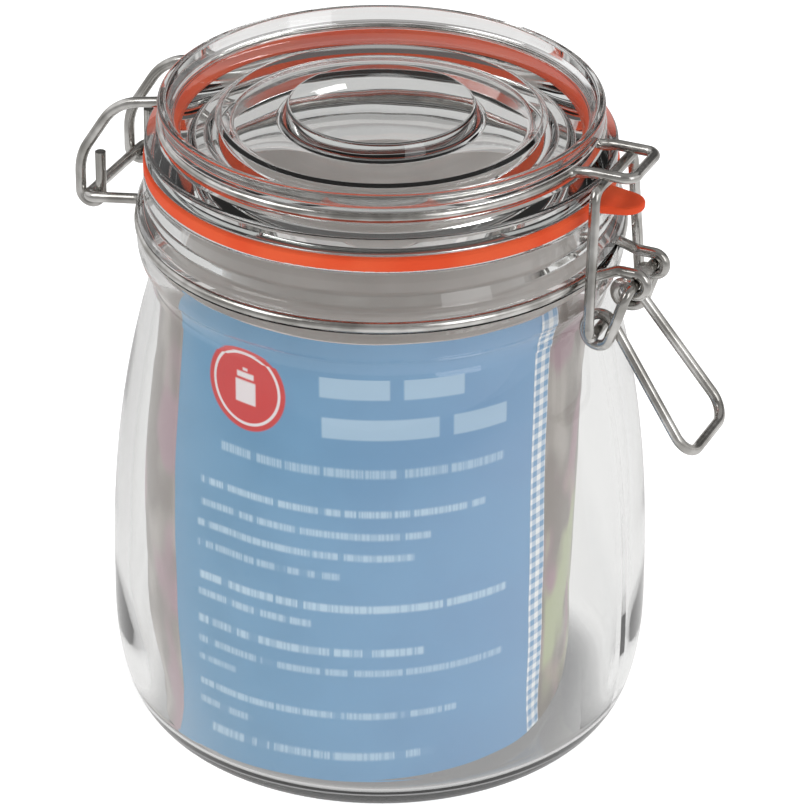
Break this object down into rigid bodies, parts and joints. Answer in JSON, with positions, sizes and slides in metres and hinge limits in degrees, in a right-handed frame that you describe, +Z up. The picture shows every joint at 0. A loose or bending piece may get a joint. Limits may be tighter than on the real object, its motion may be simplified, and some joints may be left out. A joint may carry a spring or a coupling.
{
  "type": "clip-top jar",
  "caption": "Round clip-top storage jar: glass body and glass lid, orange rubber gasket, wire hinge behind, wire lever clasp in front, rolled paper leaflet inside",
  "frame": {"origin": "centre of the foot ring, on the plane the jar stands on", "axes": "+Z up along the jar's axis, +X towards the lever clasp, -X towards the hinge, +Y across"},
  "size_m": [0.1353, 0.1102, 0.1374],
  "materials": {
    "glass": "clear pressed glass, smooth",
    "lid glass": "clear pressed glass, smooth",
    "gasket rubber": "orange rubber, satin",
    "leaflet paper": "coated printed paper, satin",
    "wire": "bright drawn steel wire"
  },
  "bodies": {
    "jar": {"jar_glass": "glass", "neck_wire": "wire", "gasket": "gasket rubber", "leaflet": "leaflet paper"},
    "lid": {"lid_glass": "lid glass", "lid_wire": "wire"},
    "lever": {"lever": "wire"},
    "link": {"link": "wire"}
  },
  "joints": [
    {"name": "lid_open", "type": "hinge", "parent": "jar", "child": "lid", "pos_m": [-0.0596, 0, 0.1092], "axis": [0, -1, 0], "range_deg": [0, 110]},
    {"name": "lever_swing", "type": "hinge", "parent": "jar", "child": "lever", "pos_m": [0.0568, 0, 0.11], "axis": [0, -1, 0], "range_deg": [0, 90]},
    {"name": "link_swing", "type": "hinge", "parent": "lever", "child": "link", "pos_m": [0.0506, 0, 0.1003], "axis": [0, -1, 0], "range_deg": [-108, 0]}
  ],
  "couplings": [
    {"joint": "link_swing", "follows": "lever_swing", "ratio": -1.2}
  ]
}
